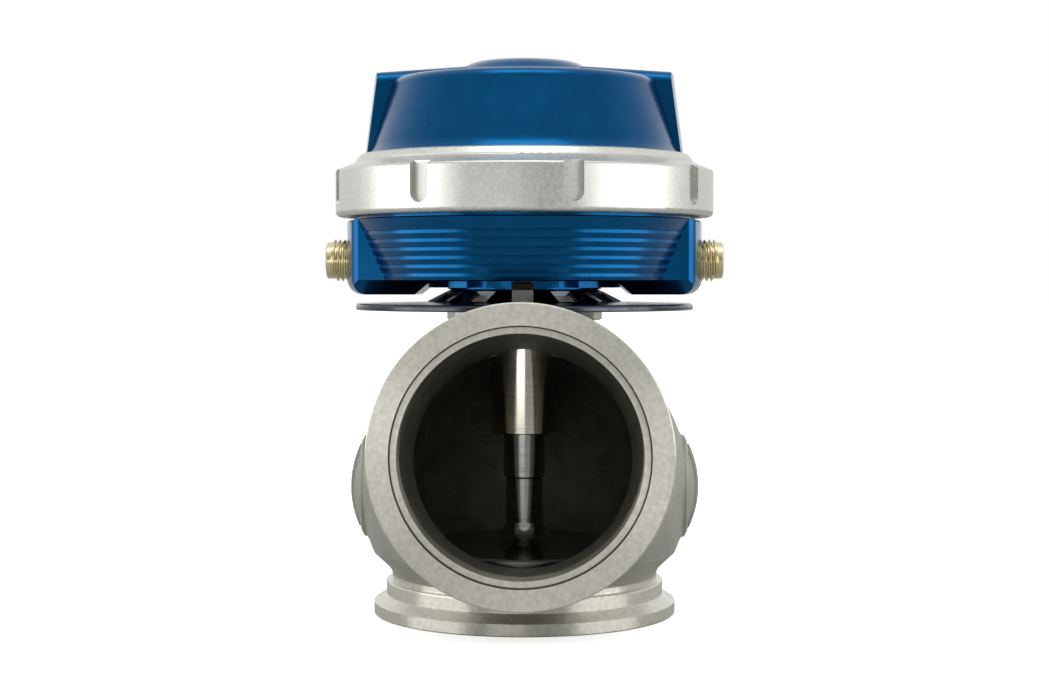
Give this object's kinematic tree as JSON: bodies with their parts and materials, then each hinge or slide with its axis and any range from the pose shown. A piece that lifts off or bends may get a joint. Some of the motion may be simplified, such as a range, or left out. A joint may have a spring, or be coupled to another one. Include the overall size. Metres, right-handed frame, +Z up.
{
  "type": "turbo wastegate",
  "caption": "External turbo wastegate: poppet valve in a cast body with two V-band flanges, spring and diaphragm actuator under a locking collar.",
  "frame": {"origin": "centre of the inlet flange's sealing face, on the valve axis", "axes": "+Z up the valve stem towards the cap, -Y out of the outlet flange, +X towards the right port fitting"},
  "size_m": [0.1052, 0.102, 0.1464],
  "materials": {
    "cast_stainless": "bead-blasted cast stainless, machined flange faces",
    "hard_seat": "ground hard facing",
    "valve_steel": "turned and ground heat-resisting steel",
    "guide_bronze": "turned dark bronze",
    "zinc_bolt": "bright stainless fastener",
    "gasket_sheet": "pressed fibre sheet",
    "shield_sheet": "polished stainless sheet",
    "blue_anodised": "machined aluminium, blue anodised, satin",
    "clear_anodised": "machined aluminium, clear anodised, satin",
    "nickel_brass": "nickel-plated brass, turned",
    "seal_rubber": "matt fluoro rubber",
    "diaphragm_rubber": "fabric-backed silicone rubber",
    "plain_aluminium": "machined aluminium",
    "spring_steel": "shot-peened spring wire",
    "plug_steel": "black oxide steel",
    "thrust_plastic": "white PTFE"
  },
  "bodies": {
    "housing": {"valve_body": "cast_stainless", "valve_seat": "hard_seat", "valve_guide": "guide_bronze", "body_bolts": "zinc_bolt", "shield_gasket": "gasket_sheet", "heat_shield": "shield_sheet", "actuator_base": "blue_anodised", "stem_seal": "seal_rubber", "seal_retainer": "plain_aluminium", "port_fitting_left": "nickel_brass", "port_fitting_right": "nickel_brass", "diaphragm": "diaphragm_rubber", "outer_spring": "spring_steel", "middle_spring": "spring_steel", "inner_spring": "spring_steel", "actuator_cap": "blue_anodised", "arm_plug_left": "plug_steel", "arm_plug_right": "plug_steel"},
    "valve": {"poppet_valve": "valve_steel", "diaphragm_retainer": "plain_aluminium", "spring_seat": "plain_aluminium", "stem_washer": "zinc_bolt", "stem_nut": "zinc_bolt"},
    "thrust": {"thrust_ring": "thrust_plastic"},
    "collar": {"locking_collar": "clear_anodised"}
  },
  "joints": [
    {"name": "valve_lift", "type": "slide", "parent": "housing", "child": "valve", "axis": [0, 0, 1], "range_m": [0, 0.014], "stiffness_N_per_m": 9000, "springref_m": -0.01, "deforming": ["diaphragm", "outer_spring", "middle_spring", "inner_spring"]},
    {"name": "collar_rise", "type": "slide", "parent": "housing", "child": "thrust", "axis": [0, 0, 1], "range_m": [0, 0.0075]},
    {"name": "collar_turn", "type": "hinge", "parent": "thrust", "child": "collar", "pos_m": [0, 0, 0.113], "axis": [0, 0, 1], "range_deg": [0, 1800]}
  ],
  "couplings": [
    {"joint": "collar_rise", "follows": "collar_turn", "m_per_rad": 0.00023873}
  ]
}
